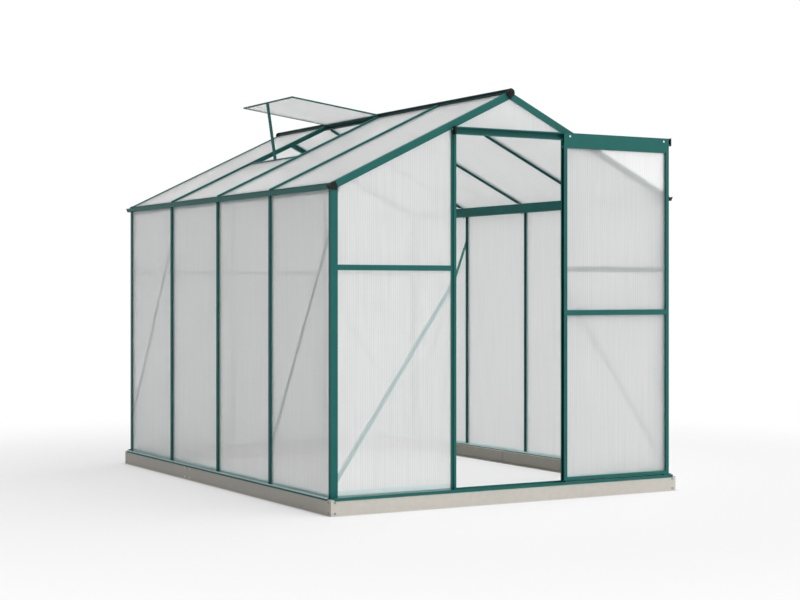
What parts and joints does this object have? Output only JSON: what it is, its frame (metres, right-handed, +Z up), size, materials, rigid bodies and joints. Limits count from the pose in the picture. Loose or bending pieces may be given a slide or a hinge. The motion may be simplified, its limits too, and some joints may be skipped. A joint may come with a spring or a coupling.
{
  "type": "garden greenhouse with twin-wall panes",
  "caption": "Free-standing garden greenhouse: green aluminium bars on a steel base, milky twin-wall panes, a ridged roof with an open vent, and a sliding gable door.",
  "frame": {"origin": "on the ground, under the middle of the base", "axes": "+Z up, +Y from the door gable to the rear gable, +X to the right as seen from the door"},
  "size_m": [1.914, 2.5306, 1.9741],
  "materials": {
    "green_frame": "dark green powder coat, satin",
    "galvanised_base": "galvanised sheet steel, dull",
    "black_plastic": "moulded black plastic",
    "twin_wall_sheet": "milky twin-wall polycarbonate with fine upright flutes"
  },
  "bodies": {
    "frame": {"base_front": "galvanised_base", "base_rear": "galvanised_base", "base_left": "galvanised_base", "base_right": "galvanised_base", "base_corner_angles": "galvanised_base", "base_splice_plates": "galvanised_base", "front_sill": "green_frame", "rear_sill": "green_frame", "left_sill": "green_frame", "right_sill": "green_frame", "left_corner_posts": "green_frame", "right_corner_posts": "green_frame", "left_wall_bars": "green_frame", "right_wall_bars": "green_frame", "door_posts": "green_frame", "rear_studs": "green_frame", "front_rails": "green_frame", "rear_rails": "green_frame", "left_gutter": "green_frame", "right_gutter": "green_frame", "front_verges": "green_frame", "rear_verges": "green_frame", "left_roof_bars": "green_frame", "right_roof_bars": "green_frame", "ridge_beam": "green_frame", "wall_braces": "green_frame", "gable_braces": "green_frame", "vent_transom": "green_frame", "vent_frame": "green_frame", "vent_stay": "green_frame", "door_track": "green_frame", "gutter_end_caps": "black_plastic", "ridge_end_caps": "black_plastic", "track_end_caps": "black_plastic", "left_wall_panes": "twin_wall_sheet", "right_wall_panes": "twin_wall_sheet", "front_gable_panes": "twin_wall_sheet", "rear_gable_panes": "twin_wall_sheet", "left_roof_panes": "twin_wall_sheet", "right_roof_panes": "twin_wall_sheet", "vent_pane": "twin_wall_sheet"},
    "door": {"door_stiles": "green_frame", "door_top_rail": "green_frame", "door_rails": "green_frame", "door_panes": "twin_wall_sheet", "door_rollers": "black_plastic"}
  },
  "joints": [
    {"name": "door_slide", "type": "slide", "parent": "frame", "child": "door", "axis": [-1, 0, 0], "range_m": [0, 0.597]}
  ]
}
